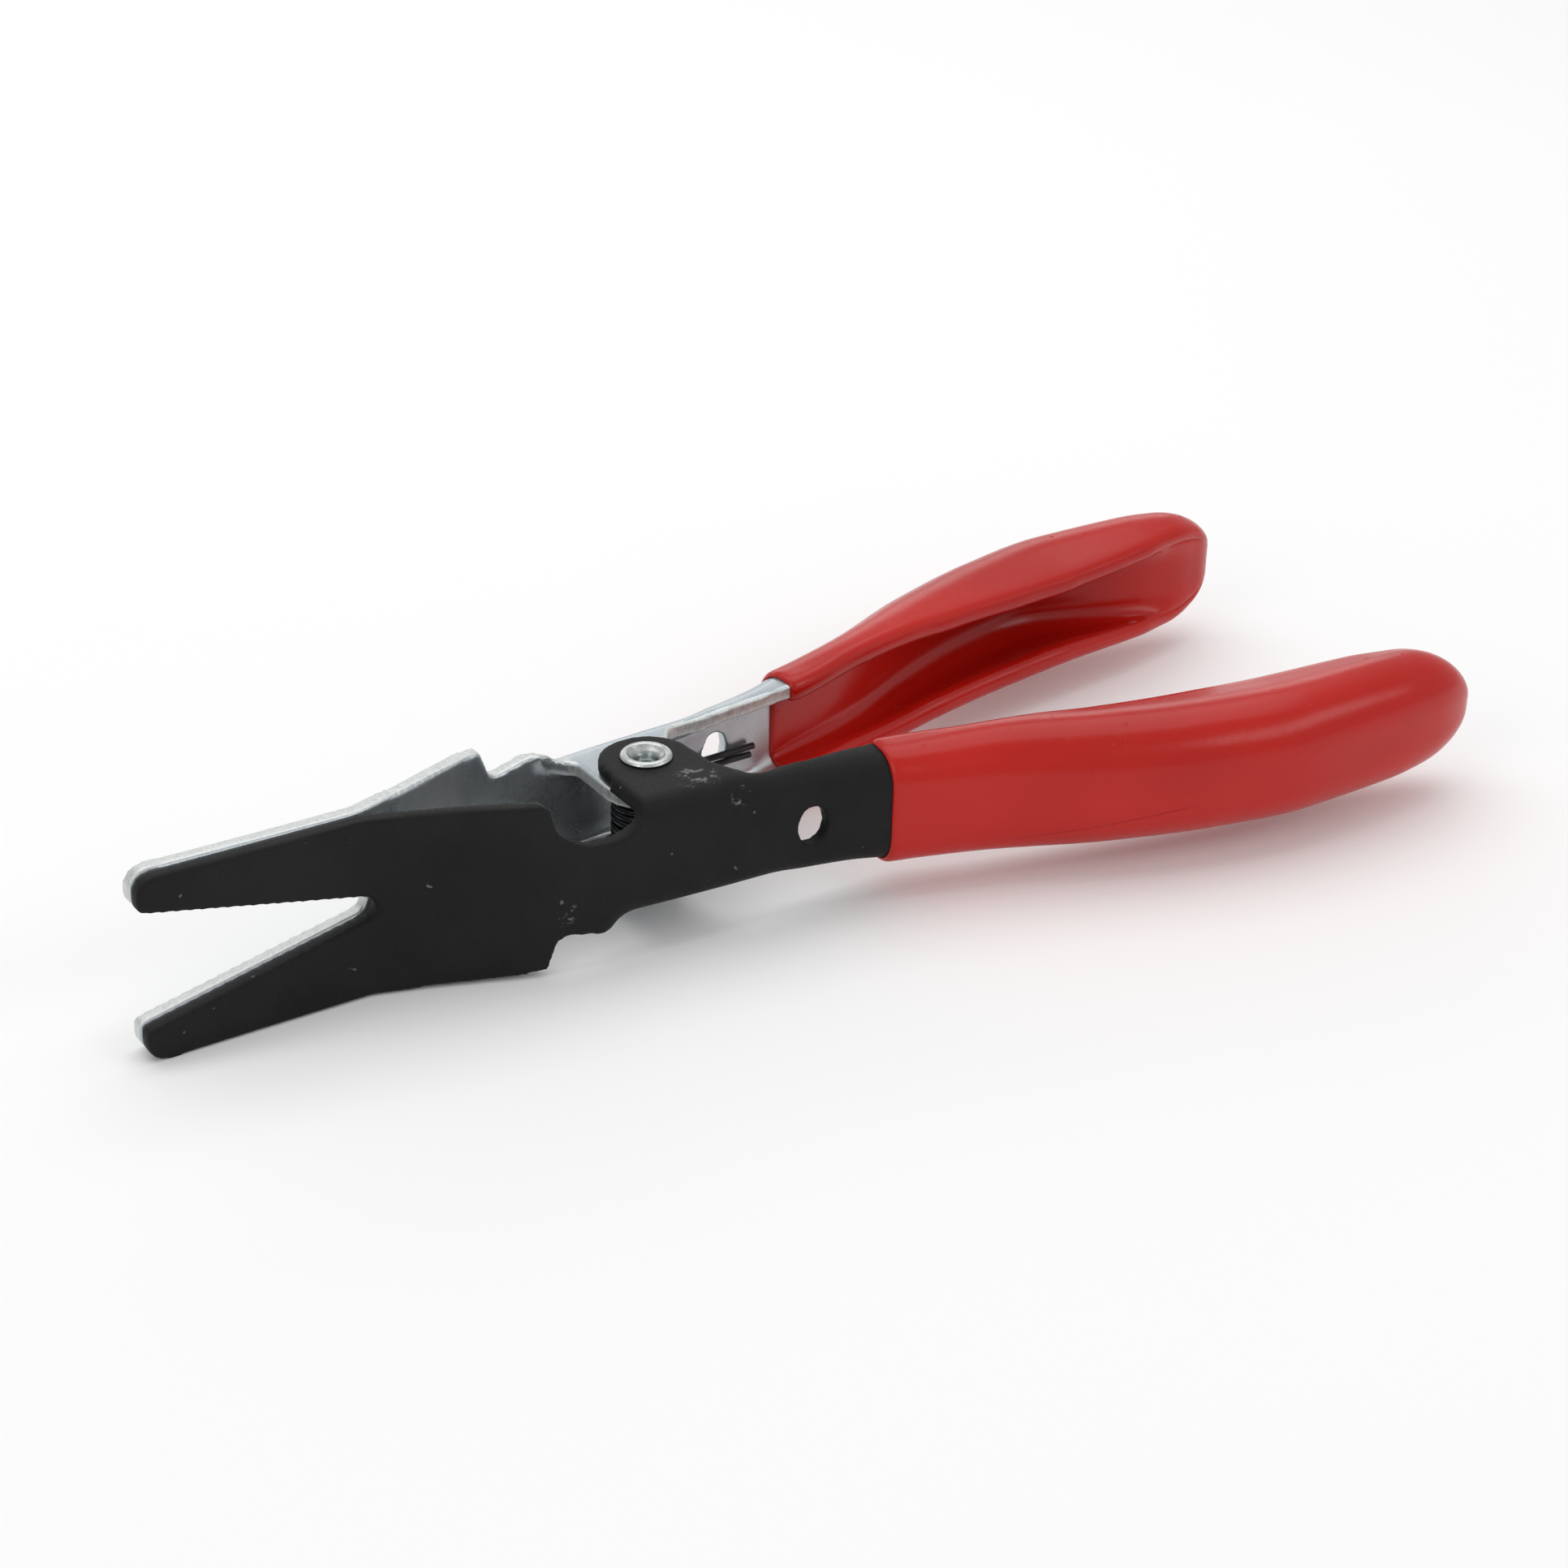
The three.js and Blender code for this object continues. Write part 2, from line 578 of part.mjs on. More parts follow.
// A round wire swept along its path, its section square to each joint.
function spring(side) {
  const points = springPath(side);
  const rings = points.map((point, i) => {
    const ahead = points[Math.min(i + 1, points.length - 1)].clone().sub(point).normalize();
    const behind = point.clone().sub(points[Math.max(i - 1, 0)]).normalize();
    const along = ahead.add(behind).normalize();
    const across = UPRIGHT.clone().cross(along).normalize();
    const over = along.clone().cross(across);
    return Array.from({ length: WIRE_SIDES }, (_, n) => {
      const angle = (2 * Math.PI * (n + 0.5)) / WIRE_SIDES;
      const sideways = across.clone().multiplyScalar((SPRING_WIRE / 2) * Math.cos(angle));
      return over.clone().multiplyScalar((SPRING_WIRE / 2) * Math.sin(angle)).add(sideways).add(point);
    });
  });
  return loft(rings, fanCap);
}

// ---------------------------------------------------------------- materials
const finish = (color, roughness, metalness) =>
  new THREE.MeshStandardMaterial({ color, roughness, metalness });
const blackCoating = () => finish(0x2b2b2d, 0.62, 0.3);
const zincPlate = () => finish(0xb4b8b8, 0.34, 1);
const redVinyl = () => finish(0xb0241d, 0.22, 0);
const springSteel = () => finish(0x1d1d1f, 0.4, 0.8);
const brightZinc = () => finish(0xc6c9ca, 0.28, 1);

// ---------------------------------------------------------------- assembly
function named(name, solid, material) {
  const mesh = new THREE.Mesh(toGeometry(solid), material);
  mesh.name = name;
  return mesh;
}

const half = stampedHalf();
const handleGrip = grip();

// The rear half stands as it was modelled. The front half is the same stamping turned over about X.
const rear = new THREE.Group();
rear.add(named("rear_half", half, zincPlate()), named("rear_grip", handleGrip, redVinyl()));

const front = new THREE.Group();
front.add(named("front_half", half, blackCoating()), named("front_grip", handleGrip, redVinyl()));
front.rotation.x = Math.PI;

const pivot = new THREE.Group();
pivot.add(named("pivot_rivet", rivet(), brightZinc()), named("spacer_sleeve", sleeve(), brightZinc()));
pivot.add(named("upper_spring", spring(1), springSteel()), named("lower_spring", spring(-1), springSteel()));

// The origin is the middle of the tool's length and spread, on the surface that it lies on.
const tool = new THREE.Group();
tool.add(front, rear, pivot);
const extent = new THREE.Box3().setFromObject(tool);
const middle = extent.getCenter(new THREE.Vector3());
tool.position.set(-middle.x, -middle.y, -extent.min.z);

const model = new THREE.Group();
model.add(tool);

export default model;
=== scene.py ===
import json
import math

import bmesh
import bpy
import numpy as np
from mathutils import Matrix, Vector


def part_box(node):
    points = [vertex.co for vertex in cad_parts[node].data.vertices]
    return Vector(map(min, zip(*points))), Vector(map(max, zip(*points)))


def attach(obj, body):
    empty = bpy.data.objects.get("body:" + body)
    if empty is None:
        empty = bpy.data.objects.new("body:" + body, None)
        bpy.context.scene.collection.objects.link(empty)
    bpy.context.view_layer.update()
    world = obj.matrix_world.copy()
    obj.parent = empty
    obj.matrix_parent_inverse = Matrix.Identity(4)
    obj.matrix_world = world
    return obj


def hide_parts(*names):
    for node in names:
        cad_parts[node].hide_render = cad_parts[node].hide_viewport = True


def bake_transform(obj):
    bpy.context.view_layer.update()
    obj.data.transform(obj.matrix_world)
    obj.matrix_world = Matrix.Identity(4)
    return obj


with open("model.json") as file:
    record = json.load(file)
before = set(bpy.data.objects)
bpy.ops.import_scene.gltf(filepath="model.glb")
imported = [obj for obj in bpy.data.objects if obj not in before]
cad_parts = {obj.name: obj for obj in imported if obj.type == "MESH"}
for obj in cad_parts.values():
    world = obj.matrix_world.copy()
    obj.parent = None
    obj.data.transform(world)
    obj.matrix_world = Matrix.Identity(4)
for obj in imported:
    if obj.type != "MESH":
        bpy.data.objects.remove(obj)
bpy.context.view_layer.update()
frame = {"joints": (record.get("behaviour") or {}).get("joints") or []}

# ---------------------------------------------------------------- sizes, in millimetres from the pivot
MM = 0.001
PIVOT = Vector(frame["joints"][0]["pos_m"])


def reach(node, corner, axis):
    """How far a CAD node reaches from the pivot along an axis, in millimetres."""
    return abs(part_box(node)[corner][axis] - PIVOT[axis]) / MM


JAW_REACH = reach("rear_half", 0, 0)
HANDLE_REACH = reach("rear_grip", 1, 0)
RIVET_TOP = reach("pivot_rivet", 1, 2)
FLANGE_RADIUS = reach("pivot_rivet", 1, 0)
SLEEVE_RADIUS = reach("spacer_sleeve", 1, 0)
SLEEVE_TOP = reach("spacer_sleeve", 1, 2)
SHEET = 2.6  # thickness of the steel
JAW_GAP = 0.4
TIP_HALF_HEIGHT = 15.8  # jaw plate, at the tips
SHOULDER_HALF_HEIGHT = 14.7  # jaw plate, at its back corners
SHOULDER_REACH = 25.0
TAPER_REACH = 36.0  # from here the plate widens towards the tips
TAPER_RADIUS = 60.0
TAPER_RISE = 0.5
PLATE_FLAT_REACH = 53.0
OUTER_NECK_HEIGHT = 6.0
NOTCH_MOUTH = 20.6
NOTCH_HALF_ANGLE = 12.4  # degrees, each edge of the V
NOTCH_RADIUS = 2.25
PRONG_OUTER_RADIUS = 3.4
PRONG_INNER_RADIUS = 1.5
WEB_AT_PIVOT = 14.7
EAR_RADIUS = 7.5
INNER_EAR_RADIUS = 8.0
STRAP_HALF_WIDTH = 7.8
EAR_BACK_EDGE = 8.4
EAR_OVERLAP_FACE = 10.6  # the ears run this far into the bent flanges
RIVET_HEAD_RISE = 0.84
EAR_TOP = RIVET_TOP - RIVET_HEAD_RISE
EAR_CLEARANCE = 0.3
INNER_EAR_TOP = EAR_TOP - SHEET - EAR_CLEARANCE
OUTER_FOLD = (-19.0, -11.0)  # the sheet turns from flat to folded here, beside the outer ear
INNER_FOLD = (-15.5, -9.2)
BLANK_FLANGE = 8.0  # flange of the untrimmed sheet
BEND_RADIUS = 3.2
CHANNEL_OUTER_HEIGHT = 10.1
CHANNEL_STEP = 0.1
MOUTH_HALF_HEIGHT = 9.7  # channel where it enters the grip
HANDLE_HALF_HEIGHT = 10.7
LIP_ANGLE = 106.0  # degrees that the handle's flanges are folded through
HOLE_CENTRE = 21.7
HOLE_LENGTH = 5.1
HOLE_HEIGHT = 7.0
PIN_RADIUS = 3.0
BORE_CLEARANCE = 0.1
SLEEVE_CLEARANCE = 0.12
GRIP_START = 34.5
GRIP_WALL = 0.7
GRIP_LINING = 0.85
STEEL_CLEARANCE = 0.06  # between the steel and the vinyl that hides it
MOUTH_TILT = 6.0  # degrees that the grip's mouth leans
MOUTH_BEAD = 0.12
NOSE_START = HANDLE_REACH - 12.0
DRAW_LENGTH = 12.5  # over which the grip's end is drawn in
DRAW_BLUNTNESS = 2.4
BOWL_START = HANDLE_REACH - 50.0  # the trough grows shallower from here
BOWL_END = HANDLE_REACH + 2.0
CROWN = 1.9
STEEL_STOP = HANDLE_REACH - 17.0
SPRING_WIRE = 1.16
COIL_CLEARANCE = 0.36
COIL_RADIUS = SLEEVE_RADIUS + COIL_CLEARANCE + SPRING_WIRE / 2
COIL_PITCH = SPRING_WIRE + 0.1
COIL_TURNS = 3
SPRING_MIDDLE_GAP = 0.1  # from the middle plane to each spring
LEG_CLEARANCE = 0.6
LEG_FACE = SHEET + LEG_CLEARANCE + SPRING_WIRE / 2
LEG_KNEE = 15.0
LEG_DROP = 1.7
LEG_END = 29.5  # the upper spring's leg on the rear web
LEG_STEP = 0.8  # the lower spring's leg is this much shorter
HIDDEN_LEG_END = 25.5
KNEE_RADIUS = 2.0


def metres(points):
    return np.asarray(points, float) * MM + np.array(PIVOT)


def smooth_line(points):
    """A smooth line through (x, value) points that never overshoots them."""
    xs, ys = np.array(points, float).T
    width = np.diff(xs)
    slope = np.diff(ys) / width
    tangent = np.concatenate([slope[:1], np.zeros(len(xs) - 2), slope[-1:]])
    for i in range(1, len(xs) - 1):
        before, after = slope[i - 1], slope[i]
        if before * after > 0:
            tangent[i] = 2 * before * after / (before + after)

    def value(x):
        i = np.clip(np.searchsorted(xs, x) - 1, 0, len(width) - 1)
        t = np.clip((x - xs[i]) / width[i], 0, 1)
        rise = ys[i + 1] - ys[i]
        start, end = tangent[i] * width[i], tangent[i + 1] * width[i]
        return ys[i] + t * (start + t * (3 * rise - 2 * start - end + t * (start + end - 2 * rise)))

    return value


def smooth_step(share):
    t = min(max(share, 0.0), 1.0)
    return t * t * (3 - 2 * t)


def unit(vector):
    return vector / np.linalg.norm(vector)


def along_handle(share):
    """A place along the handle, from the grip's mouth (0) to its end (1)."""
    return GRIP_START + share * (HANDLE_REACH - GRIP_START)


web_face = smooth_line([
    (-JAW_REACH, JAW_GAP / 2 + SHEET), (-PLATE_FLAT_REACH, JAW_GAP / 2 + SHEET), (-46, 4.5), (-34, 8.8),
    (-27, 11.3), (-20, 12.7), (-10, WEB_AT_PIVOT - 0.8), (0, WEB_AT_PIVOT), (12, WEB_AT_PIVOT + 0.7),
    (HOLE_CENTRE, WEB_AT_PIVOT + 1.6), (29, WEB_AT_PIVOT + 3), (along_handle(0), WEB_AT_PIVOT + 5),
    (along_handle(0.15), 25), (along_handle(0.32), 33.4), (along_handle(0.49), 39.4),
    (along_handle(0.65), 42.2), (along_handle(0.82), 41.6), (HANDLE_REACH, 39.2),
])
lip_face = smooth_line([
    (8, 6.4), (10.2, 10.3), (12.8, 12.2), (16, 11.7), (HOLE_CENTRE, 11.3), (along_handle(0), 11.4),
    (along_handle(0.15), 16.4), (along_handle(0.32), 21.4), (along_handle(0.49), 24.3),
    (along_handle(0.65), 26.4), (along_handle(0.82), 28.8), (NOSE_START, 30.6), (HANDLE_REACH, 32.4),
])
bend_radius = smooth_line([
    (16, BEND_RADIUS), (along_handle(0), 5), (along_handle(0.25), 7.2), (along_handle(0.5), 8),
    (NOSE_START, 7), (HANDLE_REACH, 6),
])
handle_taper = smooth_line([
    (along_handle(0.65), 0), (along_handle(0.82), 0.2), (NOSE_START, 0.7), (HANDLE_REACH, 2.3),
])


def edge_profile(ear_height, channel_height, fold_range):
    """How one edge of the sheet is folded, as a function of x."""
    fold_start, fold_end = fold_range
    height = smooth_line([
        (9, ear_height), (15, channel_height), (HOLE_CENTRE, (channel_height + MOUTH_HALF_HEIGHT) / 2),
        (along_handle(0), MOUTH_HALF_HEIGHT), (along_handle(0.25), HANDLE_HALF_HEIGHT),
        (HANDLE_REACH, HANDLE_HALF_HEIGHT),
    ])
    fold = smooth_line([
        (fold_start, 0), (fold_end, 90), (along_handle(0), 90), (along_handle(0.3), LIP_ANGLE),
    ])

    def at(x):
        trimmed = web_face(x) - lip_face(x) - bend_radius(x)
        flange = BLANK_FLANGE if x < -STRAP_HALF_WIDTH else trimmed
        return height(x) - handle_taper(x), bend_radius(x), math.radians(fold(x)), flange

    return at


INNER_EDGE = edge_profile(INNER_EAR_TOP, INNER_EAR_TOP - CHANNEL_STEP, INNER_FOLD)
OUTER_EDGE = edge_profile(EAR_TOP, CHANNEL_OUTER_HEIGHT, OUTER_FOLD)
BEND_STEPS = 12
FLANGE_STEPS = 4
LEAST_FLANGE = 0.5
WEB_STEPS = 5


# ---------------------------------------------------------------- bent sheet sections
def edge_path(edge, offset, extend):
    """Half a section from the web's middle to the lip, as (depth below the web's face, height)."""
    height, radius, fold, flange = edge
    length = radius * max(fold, math.pi / 2)
    flat = height - radius
    angles = np.linspace(0, fold, BEND_STEPS)
    if fold < 1e-6:
        depth, up = np.zeros(BEND_STEPS), flat + np.linspace(0, length, BEND_STEPS)
    else:
        bend = length / fold
        depth, up = bend * (1 - np.cos(angles)), flat + bend * np.sin(angles)
    curve = np.stack([depth + offset * np.cos(angles), up - offset * np.sin(angles)], 1)
    run = np.linspace(0, max(flange + extend, LEAST_FLANGE), FLANGE_STEPS + 1)[1:, None]
    straight = curve[-1] + run * np.array([math.sin(fold), math.cos(fold)])
    web = np.stack([np.full(WEB_STEPS, offset), np.linspace(0, flat, WEB_STEPS, endpoint=False)], 1)
    return np.concatenate([web, curve, straight])


def across_sheet(x, offset, extend):
    """The path from the upper lip round the web to the lower lip."""
    upper = edge_path(INNER_EDGE(x), offset, extend)[::-1]
    lower = edge_path(OUTER_EDGE(x), offset, extend)[1:] * (1, -1)
    return np.concatenate([upper, lower])


def web_slope(x):
    return math.atan(web_face(x + 0.5) - web_face(x - 0.5))


def place_section(x, section):
    """Puts a section's (depth, height) points square to the web at x."""
    slope = web_slope(x)
    depth, height = section.T
    return np.stack([x + depth * math.sin(slope), web_face(x) - depth * math.cos(slope), height], 1)


def sheet_ring(x):
    return place_section(x, np.concatenate([across_sheet(x, 0, 0), across_sheet(x, SHEET, 0)[::-1]]))


# ---------------------------------------------------------------- mesh helpers
def add_object(name, mesh):
    piece = bpy.data.objects.new(name, mesh)
    bpy.context.scene.collection.objects.link(piece)
    return piece


def loft(name, rings, cap=True):
    """Joins closed rings of equal length, in millimetres from the pivot, into a mesh in metres."""
    size = len(rings[0])
    count = len(rings)
    faces = []
    for ring in range(count - 1):
        for point in range(size):
            a = ring * size + point
            b = ring * size + (point + 1) % size
            faces.append((a, b, b + size, a + size))
    if cap:
        faces.append(tuple(range(size))[::-1])
        faces.append(tuple(range((count - 1) * size, count * size)))
    mesh = bpy.data.meshes.new(name)
    mesh.from_pydata(metres(np.concatenate(rings)).tolist(), [], faces)
    work = bmesh.new()
    work.from_mesh(mesh)
    bmesh.ops.recalc_face_normals(work, faces=work.faces)
    work.to_mesh(mesh)
    work.free()
    return add_object(name, mesh)


def rounded_outline(corners, step=0.2):
    """A polygon given as (x, y, corner radius), with each corner rounded."""
    points = []
    for i, (x, y, radius) in enumerate(corners):
        corner = Vector((x, y))
        if radius == 0:
            points.append(corner)
            continue
        back = (Vector(corners[i - 1][:2]) - corner).normalized()
        ahead = (Vector(corners[(i + 1) % len(corners)][:2]) - corner).normalized()
        half = math.acos(max(-1, min(1, back.dot(ahead)))) / 2
        centre = corner + (back + ahead).normalized() * (radius / math.sin(half))
        spoke = corner + back * (radius / math.tan(half)) - centre
        turn = math.copysign(math.pi - 2 * half, -(back.x * ahead.y - back.y * ahead.x))
        steps = max(2, math.ceil(abs(turn) / step))
        points += [centre + Matrix.Rotation(turn * s / steps, 2) @ spoke for s in range(steps + 1)]
    return np.array(points)


def side_block(name, outline, low=-200.0, high=200.0):
    """An outline in (x, -z), standing along y."""
    rings = [np.stack([outline[:, 0], np.full(len(outline), y), -outline[:, 1]], 1) for y in (low, high)]
    return loft(name, rings)


def plan_block(name, outline, low, high):
    """An outline in (x, y), standing along z."""
    rings = [np.stack([outline[:, 0], outline[:, 1], np.full(len(outline), z)], 1) for z in (low, high)]
    return loft(name, rings)


def apply_modifiers(piece):
    graph = bpy.context.evaluated_depsgraph_get()
    mesh = bpy.data.meshes.new_from_object(piece.evaluated_get(graph))
    piece.modifiers.clear()
    piece.data = mesh


def combine(piece, other, operation):
    cut = piece.modifiers.new("combine", "BOOLEAN")
    cut.object = other
    cut.operation = operation
    cut.solver = "EXACT"
    apply_modifiers(piece)
    bpy.data.objects.remove(other)


def shade_smooth(piece):
    piece.data.polygons.foreach_set("use_smooth", [True] * len(piece.data.polygons))


def turned_over(piece, name):
    """A copy turned half round about the X axis through the pivot."""
    copy = piece.copy()
    copy.data = piece.data.copy()
    copy.name = copy.data.name = name
    bpy.context.scene.collection.objects.link(copy)
    turn = Matrix.Rotation(math.pi, 4, "X")
    copy.data.transform(Matrix.Translation(PIVOT) @ turn @ Matrix.Translation(-PIVOT))
    return copy


# ---------------------------------------------------------------- the stamped halves
VOXEL = 0.00045  # metres
CUT_REACH = 30  # half the height of a cut that goes through everything


def blank_outline():
    """Side view of the blank, drawn with the outer ear's side up."""
    clear, far = 50.0, 300.0
    apex = -JAW_REACH + NOTCH_MOUTH / 2 / math.tan(math.radians(NOTCH_HALF_ANGLE))
    taper_height = SHOULDER_HALF_HEIGHT + TAPER_RISE
    upper_prong = [
        (apex, 0, NOTCH_RADIUS), (-JAW_REACH, NOTCH_MOUTH / 2, PRONG_INNER_RADIUS),
        (-JAW_REACH, TIP_HALF_HEIGHT, PRONG_OUTER_RADIUS), (-TAPER_REACH, taper_height, TAPER_RADIUS),
    ]
    outer_neck = [
        (-SHOULDER_REACH + 0.5, SHOULDER_HALF_HEIGHT, 2.2), (-22.9, 8.9, 3), (-18.5, OUTER_NECK_HEIGHT, 5),
        (-STRAP_HALF_WIDTH, OUTER_NECK_HEIGHT, 6.4),
    ]
    handle = [(-STRAP_HALF_WIDTH, clear, 0), (far, clear, 0), (far, -clear, 0), (-EAR_BACK_EDGE, -clear, 0)]
    inner_neck = [
        (-EAR_BACK_EDGE, -8.8, 0), (-13.5, -10.5, 5), (-22.9, -8.9, 2.2),
        (-SHOULDER_REACH, -SHOULDER_HALF_HEIGHT, 1.5),
    ]
    lower_prong = [
        (-TAPER_REACH, -taper_height, TAPER_RADIUS), (-JAW_REACH, -TIP_HALF_HEIGHT, PRONG_OUTER_RADIUS),
        (-JAW_REACH, -NOTCH_MOUTH / 2, PRONG_INNER_RADIUS),
    ]
    return rounded_outline(upper_prong + outer_neck + handle + inner_neck + lower_prong)


def ear_outline(radius):
    return rounded_outline([
        (-STRAP_HALF_WIDTH, EAR_OVERLAP_FACE, 0),
        (-max(radius, STRAP_HALF_WIDTH - 0.1), -radius, radius - 0.1),
        (radius, -radius, radius - 0.1), (EAR_BACK_EDGE, 6.8, 0), (EAR_BACK_EDGE, EAR_OVERLAP_FACE, 0),
    ])


def strap_cut_outline():
    """Plan of what is cut away ahead of the inner ear's strap."""
    strap, jaw_end, clear = -STRAP_HALF_WIDTH - 0.1, -24, -30
    return rounded_outline([
        (jaw_end, clear, 0), (strap, clear, 0), (strap, 9.2, 2), (-12, 10.2, 2), (jaw_end, 7.9, 0),
    ])


def ellipse(x, half_length, half_height):
    turn = np.linspace(0, 2 * math.pi, 64, endpoint=False)
    return np.stack([x + half_length * np.cos(turn), half_height * np.sin(turn)], 1)


def sheet_stations():
    """Where the sections of the sheet stand: close together where it is bent and folded."""
    return np.concatenate([
        np.arange(-JAW_REACH - 1, -54.5, 4), np.arange(-54.35, -24, 1.0), np.arange(-24, -8, 0.5),
        [-STRAP_HALF_WIDTH - 0.02, -STRAP_HALF_WIDTH], np.arange(-7, 8, 3.0), np.arange(8, 17, 0.5),
        np.arange(17, GRIP_START, 1.0), np.arange(GRIP_START, STEEL_STOP - 1, 2.5), [STEEL_STOP],
    ])


def soften_edges(piece):
    """Evens out the mesh and rounds its sheared edges slightly."""
    remesh = piece.modifiers.new("even", "REMESH")
    remesh.mode = "VOXEL"
    remesh.voxel_size = VOXEL
    soften = piece.modifiers.new("soften", "SMOOTH")
    soften.factor = 0.5
    soften.iterations = 5
    apply_modifiers(piece)
    shade_smooth(piece)


def stamped_half():
    """The stamping with its web on the +Y side, its outer ear down and its inner ear up."""
    half = loft("rear_half_sheet", [sheet_ring(x) for x in sheet_stations()])
    combine(half, side_block("blank", blank_outline()), "INTERSECT")
    combine(half, plan_block("strap_cut", strap_cut_outline(), 0, CUT_REACH), "DIFFERENCE")
    combine(half, plan_block("ear", ear_outline(EAR_RADIUS), -EAR_TOP, SHEET - EAR_TOP), "UNION")
    inner = plan_block("ear", ear_outline(INNER_EAR_RADIUS), INNER_EAR_TOP - SHEET, INNER_EAR_TOP)
    combine(half, inner, "UNION")
    hole = ellipse(HOLE_CENTRE, HOLE_LENGTH / 2, HOLE_HEIGHT / 2)
    combine(half, side_block("hole", hole), "DIFFERENCE")
    bore_radius = PIN_RADIUS + BORE_CLEARANCE
    bore = ellipse(0, bore_radius, bore_radius)
    combine(half, plan_block("bore", bore, -CUT_REACH, CUT_REACH), "DIFFERENCE")
    soften_edges(half)
    return half


PLATE_END = -8  # the jaw plate and neck are forward of here
EAR_REACH = 9
EAR_DEPTH = 10
EDGE_FACING = 0.5  # a sheared edge faces away from the sheet's own direction by more than this
PLATE_FACING = 0.55
LIP_DEPTH = 0.5


def mark_sheared(piece, side):
    """Stores which points belong to a punched edge, for the metal's grain."""
    mesh = piece.data
    count = len(mesh.vertices)
    place, normal = np.empty(count * 3), np.empty(count * 3)
    mesh.vertices.foreach_get("co", place)
    mesh.vertices.foreach_get("normal", normal)
    x, y, z = (place.reshape(-1, 3).T - np.array(PIVOT)[:, None]) / MM
    facing = np.abs(normal.reshape(-1, 3).T)
    depth = side * y
    plate = (x < PLATE_END) & (facing[1] < PLATE_FACING)
    ear = (np.abs(x) < EAR_REACH) & (depth < EAR_DEPTH) & (facing[2] < EDGE_FACING)
    lip = (x > -PLATE_END) & (np.abs(depth - lip_face(x)) < LIP_DEPTH)
    values = (plate | ear | lip).astype(float)
    layer = mesh.attributes.new("sheared", "FLOAT", "POINT")
    layer.data.foreach_set("value", values)


# ---------------------------------------------------------------- the dipped grips
LEAN_LENGTH = 25  # from the mouth to where the sections stand square to the web
LIP_SHARE = 0.17  # share of the trough beside each lip that keeps its own shape
ROUND_MOUTH = 1.1  # length of the rounded edge at the mouth
BEAD_WIDTH = 2.2


def draw_in(share):
    """How much of a section is left where share (0 to 1) of the rounded nose has gone by."""
    along = min(max(share, 0), 0.9998)
    return (1 - along**DRAW_BLUNTNESS) ** (1 / DRAW_BLUNTNESS)


def lip_arc(end, outward, other_end, steps=7):
    """A round lip from the end of one face to the end of the other."""
    middle = (end + other_end) / 2
    spoke = end - middle
    turn = np.linspace(0, math.pi, steps + 2)[1:-1, None]
    return middle + spoke * np.cos(turn) + outward * np.linalg.norm(spoke) * np.sin(turn)


def coated_section(x, wall, lining, fill=0.0):
    """The handle's C section with a coating on each face and round lips, as a closed loop.

    fill brings the trough up from its full depth (0) to a low crown between the lips (1)."""
    back = -SHEET / 2
    outside = across_sheet(x, -wall, back)
    inside = across_sheet(x, SHEET + lining, back)
    upper = lip_arc(inside[0], unit(outside[0] - outside[1]), outside[0])
    lower = lip_arc(outside[-1], unit(outside[-1] - outside[-2]), inside[-1])
    trough = np.concatenate([lower, inside[::-1], upper])
    share = np.linspace(0, 1, len(trough) + 2)[1:-1, None]
    crown = outside[-1] + (outside[0] - outside[-1]) * share + (CROWN, 0)
    past_lip = np.clip(np.minimum(share, 1 - share) / LIP_SHARE, 0, 1)
    weight = fill * past_lip * past_lip * (3 - 2 * past_lip)
    return np.concatenate([outside, trough + (crown - trough) * weight])


def mouth_lean(x):
    """How far a section leans per millimetre of depth, so that the mouth is cut at its own angle."""
    fade = max(0.0, 1 - (x - GRIP_START) / LEAN_LENGTH)
    return (math.tan(math.radians(MOUTH_TILT)) - math.tan(web_slope(x))) * fade


def grip_ring(x, wall, lining, shrink=1.0):
    section = coated_section(x, wall, lining, smooth_step((x - BOWL_START) / (BOWL_END - BOWL_START)))
    middle = (GRIP_WALL + web_face(x) - lip_face(x)) / 2
    section[:, 0] = middle + (section[:, 0] - middle) * shrink
    section[:, 1] *= shrink
    ring = place_section(x, section)
    ring[:, 0] += (web_face(x) - ring[:, 1]) * mouth_lean(x)
    return ring


def grip():
    """The rear grip: out of the hollow that holds the steel, round the mouth, and on to the nose."""
    skin, lining = STEEL_CLEARANCE, GRIP_LINING
    rings = [grip_ring(x, skin, skin) for x in np.arange(STEEL_STOP + 0.3, GRIP_START + 1, -4)]
    for turn in np.linspace(0, math.pi / 2, 9):
        swell = math.sin(turn)
        x = GRIP_START + ROUND_MOUTH * (1 - math.cos(turn))
        rings.append(grip_ring(x, skin + swell * (GRIP_WALL + MOUTH_BEAD - skin), skin + swell * lining))
    draw_start = HANDLE_REACH - DRAW_LENGTH
    for x in np.arange(GRIP_START + 1.8, draw_start, 1.0):
        bead = MOUTH_BEAD * math.exp(-((x - GRIP_START - 1.4) / BEAD_WIDTH) ** 2)
        rings.append(grip_ring(x, GRIP_WALL + bead, lining + bead))
    for share in 1 - (1 - np.linspace(0, 1, 26)) ** 2.4:
        rings.append(grip_ring(draw_start + share * DRAW_LENGTH, GRIP_WALL, lining, draw_in(share)))
    piece = loft("rear_grip_vinyl", rings)
    shade_smooth(piece)
    return piece


